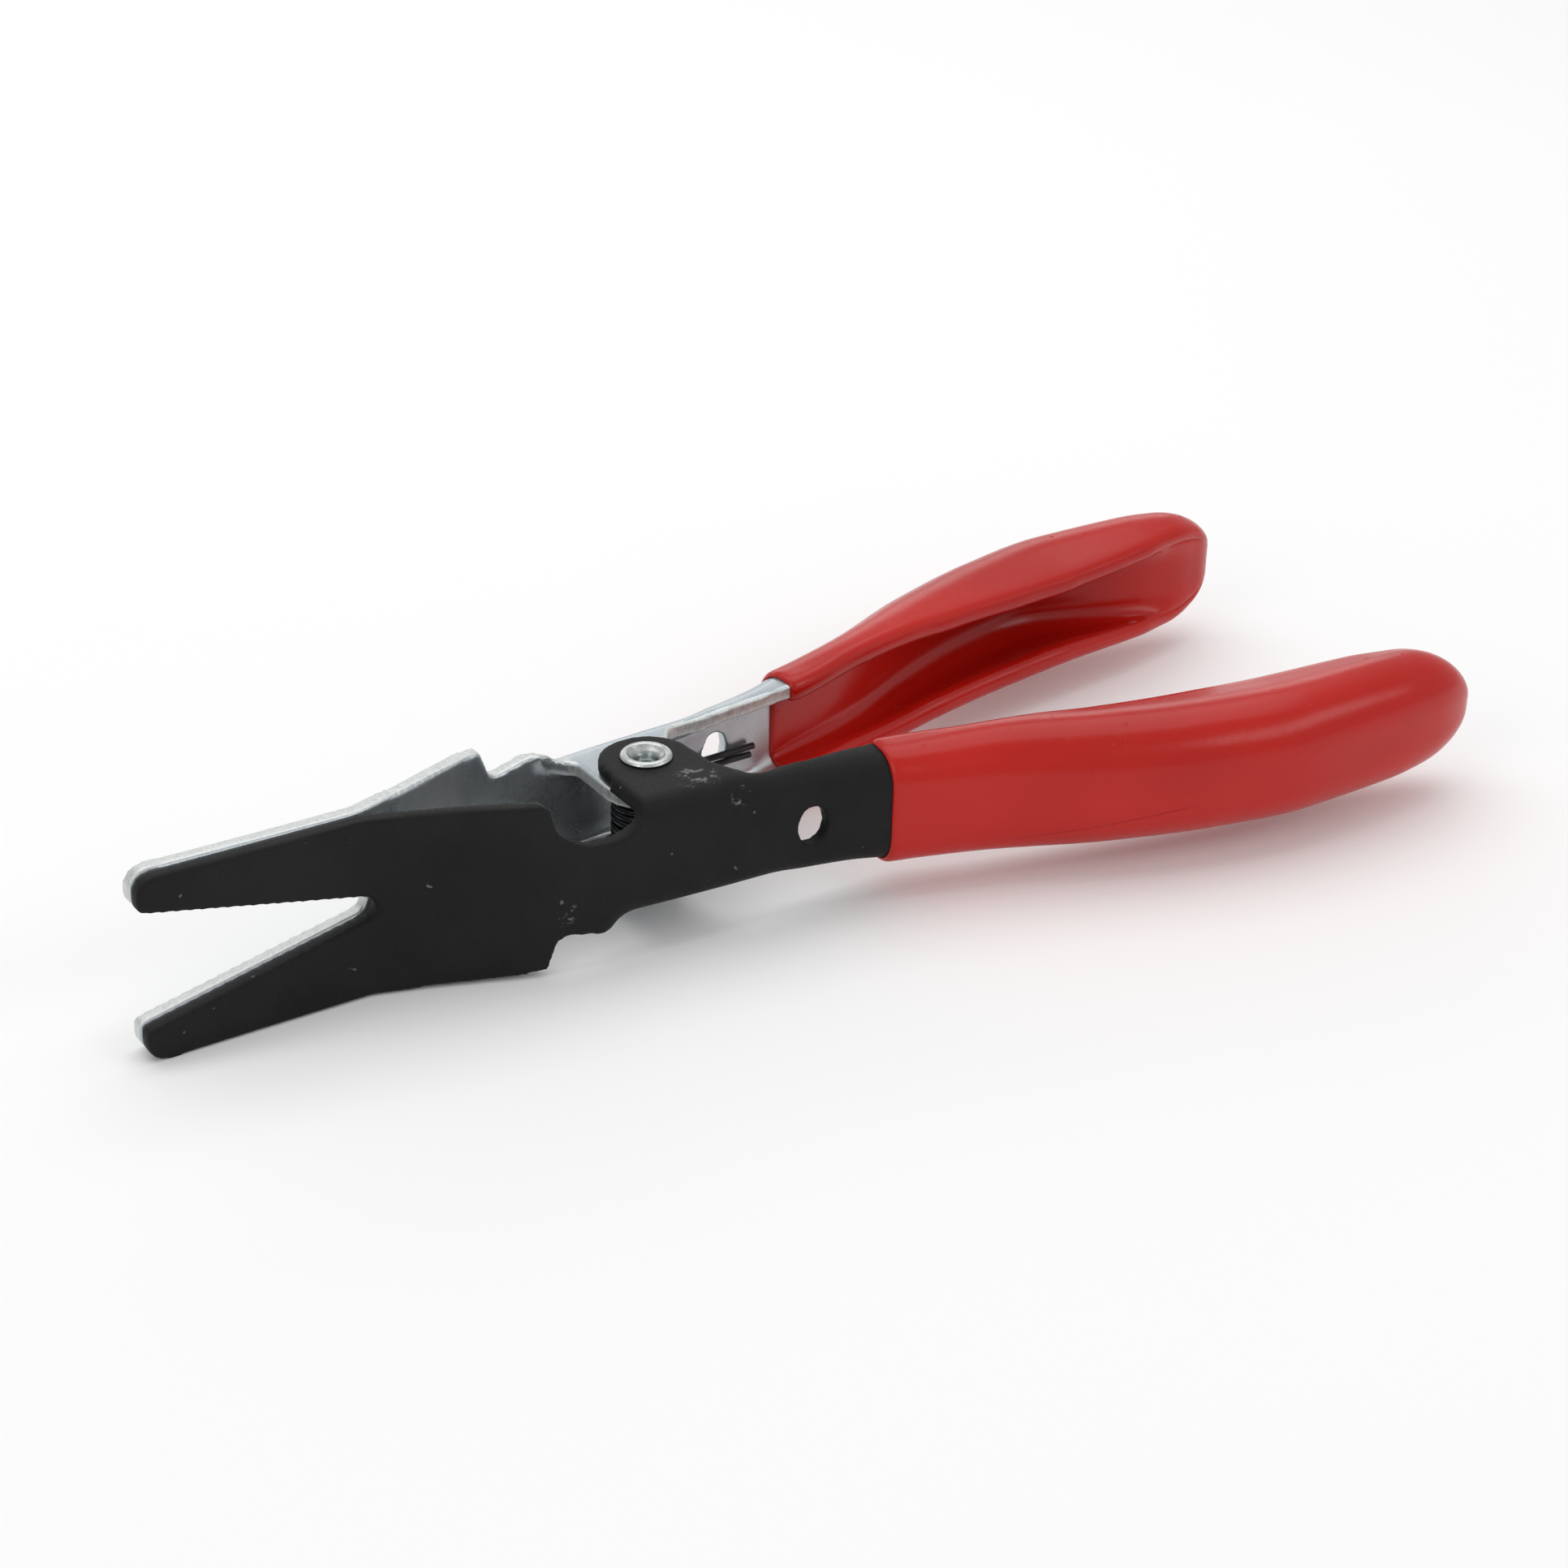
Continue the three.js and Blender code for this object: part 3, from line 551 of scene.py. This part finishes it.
# ---------------------------------------------------------------- rivet, sleeve and springs
def lathe(name, profile, steps=96):
    """A profile of (radius, height) turned about the pivot; it starts and ends on the axis or closes."""
    turn = np.linspace(0, 2 * math.pi, steps, endpoint=False)
    profile = np.array(profile, float)
    rings = [np.stack([r * np.cos(turn), r * np.sin(turn), np.full(steps, z)], 1) for r, z in profile]
    piece = loft(name, rings, cap=profile[0, 0] != profile[-1, 0] or profile[0, 1] != profile[-1, 1])
    merge = bmesh.new()
    merge.from_mesh(piece.data)
    bmesh.ops.remove_doubles(merge, verts=merge.verts, dist=1e-7)
    bmesh.ops.recalc_face_normals(merge, faces=merge.faces)
    merge.to_mesh(piece.data)
    merge.free()
    shade_smooth(piece)
    return piece


def arc(centre, radius, start, end, steps):
    turn = np.radians(np.linspace(start, end, steps))
    return [(centre[0] + radius * math.cos(t), centre[1] + radius * math.sin(t)) for t in turn]


def rivet():
    """A tubular rivet whose ends are rolled over into domed rings round a shallow recess."""
    top = RIVET_TOP
    under = EAR_TOP + 0.1
    ring_middle, ring_radius = 3.55, 0.72
    recess = [
        (0.02, top - 2.1), (1.2, top - 2.1), (1.5, top - 2.05), (1.62, top - 1.9), (1.75, top - 1.5),
        (2.0, top - 1.1), (2.45, top - 0.75),
    ]
    head = recess + arc((ring_middle, top - ring_radius), ring_radius, 150, 20, 12)
    rim = FLANGE_RADIUS
    head += [(rim - 0.03, top - 0.5), (rim, top - 0.62), (rim - 0.08, under + 0.02), (rim - 0.2, under)]
    head += [(PIN_RADIUS, under)]
    profile = [(r, -z) for r, z in head] + head[::-1]
    return lathe("pivot_rivet_rolled", profile)


def sleeve():
    """The spacer between the inner ears, with its edges broken."""
    edge = 0.25
    inner, outer = PIN_RADIUS + SLEEVE_CLEARANCE, SLEEVE_RADIUS
    top = SLEEVE_TOP
    profile = [
        (inner, -top + edge), (inner + edge, -top), (outer - edge, -top), (outer, -top + edge),
        (outer, top - edge), (outer - edge, top), (inner + edge, top), (inner, top - edge),
        (inner, -top + edge),
    ]
    return lathe("spacer_sleeve_turned", profile)


def on_web(x):
    """A leg's place beside the rear web, as (x, y)."""
    return np.array([x, web_face(x) - LEG_FACE])


def rounded_path(points, radius, steps=8):
    """A path of straight pieces with each inner corner rounded."""
    points = [np.asarray(p, float) for p in points]
    path = [points[0]]
    for before, corner, after in zip(points, points[1:], points[2:]):
        back = (before - corner) / np.linalg.norm(before - corner)
        ahead = (after - corner) / np.linalg.norm(after - corner)
        for t in np.linspace(0, 1, steps):
            path.append(corner + radius * ((1 - t) ** 2 * back + t**2 * ahead))
    return path + [points[-1]]


def spring_path(side):
    """Rear leg, coil, front leg, as points in millimetres."""
    knee = on_web(LEG_KNEE)
    leave = math.atan2(knee[1], knee[0]) + math.acos(COIL_RADIUS / np.linalg.norm(knee))
    turns = COIL_TURNS + 1 - leave / math.pi
    low = SPRING_MIDDLE_GAP + SPRING_WIRE / 2
    high = low + turns * COIL_PITCH
    rear = on_web(LEG_END if side > 0 else LEG_END - LEG_STEP)
    front = on_web(HIDDEN_LEG_END)
    share = np.linspace(0, 1, int(turns * 48))
    angle = leave + 2 * math.pi * turns * share
    height = side * (low + (high - low) * share)
    coil = list(np.stack([COIL_RADIUS * np.cos(angle), COIL_RADIUS * np.sin(angle), height], 1))
    rear_leg = [(*rear, side * low - LEG_DROP), (*knee, side * low - LEG_DROP / 3), coil[0]]
    front_leg = [coil[-1], (knee[0], -knee[1], side * high), (front[0], -front[1], side * high)]
    near = rounded_path(rear_leg, KNEE_RADIUS)
    far = rounded_path(front_leg, KNEE_RADIUS)
    return np.array(near[:-1] + coil + far[1:])


def spring(name, side, sides=14):
    """A round wire along the spring's path, with its cut ends slightly rounded."""
    path = spring_path(side)
    along = np.gradient(path, axis=0)
    along /= np.linalg.norm(along, axis=1)[:, None]
    across = np.cross((0, 0, 1), along)
    across /= np.linalg.norm(across, axis=1)[:, None]
    over = np.cross(along, across)
    turn = np.linspace(0, 2 * math.pi, sides, endpoint=False)
    round_wire = np.cos(turn)[:, None, None] * across + np.sin(turn)[:, None, None] * over
    radius = SPRING_WIRE / 2
    end_length, end_share = 0.12, 0.8
    rings = [path[i] + radius * round_wire[:, i] for i in range(len(path))]
    first = [path[0] - end_length * along[0] + end_share * radius * round_wire[:, 0]]
    last = [path[-1] + end_length * along[-1] + end_share * radius * round_wire[:, -1]]
    piece = loft(name, first + rings + last)
    shade_smooth(piece)
    return piece


# ---------------------------------------------------------------- materials
class Look:
    """A node material with short ways to add and join its nodes."""

    def __init__(self, name, **values):
        self.material = bpy.data.materials.new(name)
        self.material.use_nodes = True
        self.nodes = self.material.node_tree.nodes
        self.shader = self.nodes["Principled BSDF"]
        self.place = self.add("ShaderNodeTexCoord").outputs["Object"]
        for socket, value in values.items():
            self.shader.inputs[socket.replace("_", " ")].default_value = value

    def add(self, kind, **settings):
        node = self.nodes.new(kind)
        for key, value in settings.items():
            setattr(node, key, value)
        return node

    def join(self, source, target):
        self.material.node_tree.links.new(source, target)

    def noise(self, scale, detail=4.0, roughness=0.6, stretch=(1, 1, 1)):
        mapping = self.add("ShaderNodeMapping")
        mapping.inputs["Scale"].default_value = stretch
        self.join(self.place, mapping.inputs["Vector"])
        node = self.add("ShaderNodeTexNoise")
        node.inputs["Scale"].default_value = scale
        node.inputs["Detail"].default_value = detail
        node.inputs["Roughness"].default_value = roughness
        self.join(mapping.outputs["Vector"], node.inputs["Vector"])
        return node.outputs["Fac"]

    def ramp(self, source, low, high, start=0.0, end=1.0):
        node = self.add("ShaderNodeMapRange", interpolation_type="SMOOTHSTEP")
        for socket, value in (("From Min", low), ("From Max", high), ("To Min", start), ("To Max", end)):
            node.inputs[socket].default_value = value
        self.join(source, node.inputs["Value"])
        return node.outputs["Result"]

    def math(self, operation, a, b):
        node = self.add("ShaderNodeMath", operation=operation)
        for socket, value in zip(node.inputs, (a, b)):
            if isinstance(value, (int, float)):
                socket.default_value = value
            else:
                self.join(value, socket)
        return node.outputs[0]

    def mix(self, share, low, high):
        """A mix of two colours, or of a linked colour and a plain one."""
        node = self.add("ShaderNodeMix", data_type="RGBA")
        self.join(share, node.inputs["Factor"])
        for socket, value in ((node.inputs[6], low), (node.inputs[7], high)):
            if isinstance(value, tuple):
                socket.default_value = (*value, 1)
            else:
                self.join(value, socket)
        return node.outputs[2]

    def between(self, share, low, high):
        """A mix of two linked values."""
        node = self.add("ShaderNodeMix", data_type="FLOAT")
        self.join(share, node.inputs["Factor"])
        self.join(low, node.inputs[2])
        self.join(high, node.inputs[3])
        return node.outputs[0]

    def colour(self, source):
        self.join(source, self.shader.inputs["Base Color"])

    def roughness(self, source):
        self.join(source, self.shader.inputs["Roughness"])

    def bump(self, source, depth):
        node = self.add("ShaderNodeBump")
        node.inputs["Distance"].default_value = depth
        self.join(source, node.inputs["Height"])
        self.join(node.outputs["Normal"], self.shader.inputs["Normal"])

    def near(self, x, y, z, radius):
        """1 at a place given in millimetres from the pivot, falling to 0 at a distance."""
        node = self.add("ShaderNodeVectorMath", operation="DISTANCE")
        self.join(self.place, node.inputs[0])
        node.inputs[1].default_value = PIVOT + Vector((x, y, z)) * MM
        return self.ramp(node.outputs["Value"], radius * MM, radius * 0.4 * MM)

    def line(self, start, end, width):
        """1 along a line between two (x, z) places in millimetres from the pivot, seen along Y."""
        parts = self.add("ShaderNodeSeparateXYZ")
        self.join(self.place, parts.inputs[0])
        (x1, z1), (x2, z2) = ((PIVOT.x + x * MM, PIVOT.z + z * MM) for x, z in (start, end))
        slope = (z2 - z1) / (x2 - x1)
        height = self.math("MULTIPLY_ADD", self.math("SUBTRACT", parts.outputs["X"], x1), slope)
        height.node.inputs[2].default_value = z1
        off = self.math("ABSOLUTE", self.math("SUBTRACT", parts.outputs["Z"], height), 0.0)
        near = self.ramp(off, width * MM, 0.0)
        fade = 8 * MM
        first = self.ramp(parts.outputs["X"], x1, x1 + fade)
        ends = self.math("MULTIPLY", first, self.ramp(parts.outputs["X"], x2, x2 - fade))
        return self.math("MULTIPLY", near, ends)

    def attribute(self, name):
        return self.add("ShaderNodeAttribute", attribute_name=name).outputs["Fac"]


def black_coating():
    look = Look("black_coating", Metallic=0.0)
    look.shader.inputs["Specular IOR Level"].default_value = 0.17
    cloud = look.noise(60, 5)
    grain = look.noise(2600, 3)
    base = look.mix(look.ramp(cloud, 0.3, 0.7), (0.0074, 0.0074, 0.0082), (0.0115, 0.0115, 0.0124))
    specks = look.ramp(look.noise(420, 2, 0.4), 0.735, 0.77)
    scratch = look.ramp(look.noise(620, 4, 0.7, (0.7, 1, 1)), 0.54, 0.6)
    patch = look.math("ADD", look.near(3.4, -9.6, 11.2, 4.4), look.near(8.5, -15, 8.6, 2.2))
    patch = look.math("ADD", patch, look.near(-22, -12.5, -5, 2.4))
    scuffs = look.math("MULTIPLY", patch, scratch)
    wear = look.math("MAXIMUM", look.math("MULTIPLY", specks, 0.5), look.math("MULTIPLY", scuffs, 0.75))
    look.colour(look.mix(wear, base, (0.2, 0.2, 0.195)))
    look.roughness(look.ramp(grain, 0.3, 0.7, 0.5, 0.64))
    look.bump(look.math("ADD", grain, look.math("MULTIPLY", cloud, 2.0)), 0.000035)
    return look.material


def zinc_plate():
    look = Look("zinc_plate", Metallic=0.74)
    cloud = look.noise(45, 6, 0.65)
    grain = look.noise(1500, 4, 0.7)
    torn = look.noise(1900, 3, 0.7, (1, 1, 0.35))
    edge = look.attribute("sheared")
    face = look.mix(look.ramp(cloud, 0.3, 0.72), (0.43, 0.485, 0.52), (0.6, 0.63, 0.64))
    sheared = look.mix(look.ramp(torn, 0.35, 0.65), (0.55, 0.57, 0.56), (0.69, 0.71, 0.69))
    look.colour(look.mix(edge, face, sheared))
    smooth = look.ramp(cloud, 0.25, 0.75, 0.22, 0.34)
    rough = look.ramp(torn, 0.3, 0.7, 0.34, 0.5)
    look.roughness(look.between(edge, smooth, rough))
    height = look.math("ADD", look.math("MULTIPLY", torn, look.math("MULTIPLY", edge, 1.2)), grain)
    look.bump(height, 0.00004)
    return look.material


def red_vinyl(name, creased):
    look = Look(name, Metallic=0.0, Subsurface_Weight=0.06)
    look.shader.inputs["Specular IOR Level"].default_value = 0.33
    look.shader.inputs["Subsurface Radius"].default_value = (0.004, 0.0008, 0.0006)
    look.shader.inputs["Subsurface Scale"].default_value = 0.4
    sag = look.noise(55, 2, 0.4, (0.4, 1, 1))
    fine = look.noise(900, 3)
    look.colour(look.mix(look.ramp(sag, 0.3, 0.7), (0.43, 0.007, 0.003), (0.5, 0.01, 0.005)))
    dust = look.ramp(look.noise(520, 1, 0.3), 0.75, 0.79)
    rough = look.math("ADD", look.ramp(fine, 0.3, 0.7, 0.2, 0.27), look.math("MULTIPLY", dust, 0.3))
    look.roughness(rough)
    height = look.math("ADD", look.math("MULTIPLY", sag, 6.0), look.math("MULTIPLY", fine, 0.25))
    if creased:
        crease = look.line((50, -7.6), (87, -2.4), 0.16)
        height = look.math("SUBTRACT", height, look.math("MULTIPLY", crease, 1.6))
    look.bump(height, 0.00008)
    return look.material


def rivet_metal():
    look = Look("bright_rivet", Metallic=1.0)
    cloud = look.noise(320, 5, 0.7)
    grain = look.noise(2600, 3)
    bright = look.mix(look.ramp(cloud, 0.3, 0.7), (0.44, 0.46, 0.46), (0.6, 0.62, 0.61))
    depth = RIVET_TOP - 1.5
    # Painted shade: the hollow inside each rolled end is darkened to a dark teal grey, standing in for the
    # shade that falls in the recess.
    recess = look.math("MAXIMUM", look.near(0, 0, depth, 3.0), look.near(0, 0, -depth, 3.0))
    look.colour(look.mix(recess, bright, (0.15, 0.18, 0.18)))
    look.roughness(look.ramp(grain, 0.3, 0.7, 0.22, 0.36))
    look.bump(look.math("ADD", cloud, grain), 0.00003)
    return look.material


def spring_wire():
    look = Look("black_spring_wire", Metallic=0.85)
    drawn = look.noise(1400, 3, 0.6, (0.15, 1, 1))
    look.colour(look.mix(look.ramp(drawn, 0.35, 0.65), (0.018, 0.018, 0.02), (0.045, 0.045, 0.047)))
    look.roughness(look.ramp(drawn, 0.3, 0.7, 0.28, 0.42))
    look.bump(drawn, 0.00002)
    return look.material


# ---------------------------------------------------------------- the object
def finish_piece(piece, material, body, slot, *nodes):
    piece.data.materials.clear()
    piece.data.materials.append(material)
    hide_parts(*nodes)
    if body:
        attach(piece, body)


rear_half = stamped_half()
front_half = turned_over(rear_half, "front_half_sheet")
mark_sheared(rear_half, 1)
mark_sheared(front_half, -1)
finish_piece(rear_half, zinc_plate(), "rear", "zinc_plated_steel", "rear_half")
finish_piece(front_half, black_coating(), "front", "black_coated_steel", "front_half")

rear_grip = grip()
front_grip = turned_over(rear_grip, "front_grip_vinyl")
finish_piece(rear_grip, red_vinyl("red_vinyl_rear", False), "rear", "red_vinyl", "rear_grip")
finish_piece(front_grip, red_vinyl("red_vinyl_front", True), "front", "red_vinyl", "front_grip")

finish_piece(rivet(), rivet_metal(), "front", "bright_rivet_steel", "pivot_rivet")
finish_piece(sleeve(), rivet_metal(), "front", "bright_rivet_steel", "spacer_sleeve")

for name, side in (("upper_spring", 1), ("lower_spring", -1)):
    wire = spring(name + "_wire", side)
    finish_piece(wire, spring_wire(), None, "black_spring_wire", name)
    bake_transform(wire)


# ---------------------------------------------------------------- floor, light and camera
FLOOR_HALF = 3.0  # metres
WORLD_STRENGTH = 0.6
CAMERA_PLACE = Vector((-246.8, -407.3, 262.8))  # millimetres from the pivot
CAMERA_AZIMUTH = 33.87
CAMERA_ELEVATION = 28.28
CAMERA_ROLL = 1.35
CAMERA_LENS = 77.46


def pale_floor():
    mesh = bpy.data.meshes.new("floor")
    corners = [(x * FLOOR_HALF, y * FLOOR_HALF, 0) for x, y in ((-1, -1), (1, -1), (1, 1), (-1, 1))]
    mesh.from_pydata(corners, [], [(0, 1, 2, 3)])
    floor = add_object("floor", mesh)
    look = Look("pale_floor", Metallic=0.0)
    look.colour(look.mix(look.noise(3, 2), (0.93, 0.93, 0.93), (0.95, 0.95, 0.95)))
    look.shader.inputs["Roughness"].default_value = 0.9
    look.shader.inputs["Specular IOR Level"].default_value = 0.1
    mesh.materials.append(look.material)


def soft_box(name, place, size, brightness, aim=(0, 0, 0.01)):
    """A rectangular light whose surface is this many times as bright as a white world."""
    light = bpy.data.lights.new(name, "AREA")
    light.shape = "RECTANGLE"
    light.size, light.size_y = size
    light.energy = brightness * math.pi * size[0] * size[1]
    lamp = bpy.data.objects.new(name, light)
    lamp.location = place
    lamp.rotation_euler = (Vector(aim) - Vector(place)).to_track_quat("-Z", "Y").to_euler()
    bpy.context.scene.collection.objects.link(lamp)


def studio():
    world = bpy.data.worlds.new("studio")
    world.use_nodes = True
    background = world.node_tree.nodes["Background"]
    background.inputs["Color"].default_value = (1, 1, 1, 1)
    background.inputs["Strength"].default_value = WORLD_STRENGTH
    bpy.context.scene.world = world
    soft_box("overhead", (0.05, 0.25, 0.9), (1.3, 0.9), 1.15)
    soft_box("left", (-0.8, -0.3, 0.55), (0.5, 0.5), 1.3)
    soft_box("right", (0.55, -0.75, 0.62), (0.7, 0.3), 2.0)
    soft_box("behind", (0.3, 0.9, 0.35), (1.2, 0.3), 0.9)


def camera():
    """The photograph's view: a long lens above the jaws, to the front half's side."""
    data = bpy.data.cameras.new("camera")
    data.sensor_width = 36
    data.lens = CAMERA_LENS
    data.clip_start = 0.01
    view = bpy.data.objects.new("camera", data)
    azimuth = math.radians(CAMERA_AZIMUTH)
    elevation = math.radians(CAMERA_ELEVATION)
    roll = math.radians(CAMERA_ROLL)
    ahead = math.cos(elevation)
    forward = Vector((math.sin(azimuth) * ahead, math.cos(azimuth) * ahead, -math.sin(elevation)))
    level = Vector((math.cos(azimuth), -math.sin(azimuth), 0))
    upright = level.cross(forward)
    right = math.cos(roll) * level + math.sin(roll) * upright
    up = math.cos(roll) * upright - math.sin(roll) * level
    place = PIVOT + CAMERA_PLACE * MM
    view.matrix_world = Matrix.Translation(place) @ Matrix((right, up, -forward)).transposed().to_4x4()
    bpy.context.scene.collection.objects.link(view)
    bpy.context.scene.camera = view


pale_floor()
studio()
camera()
bpy.context.scene.view_settings.view_transform = "Standard"
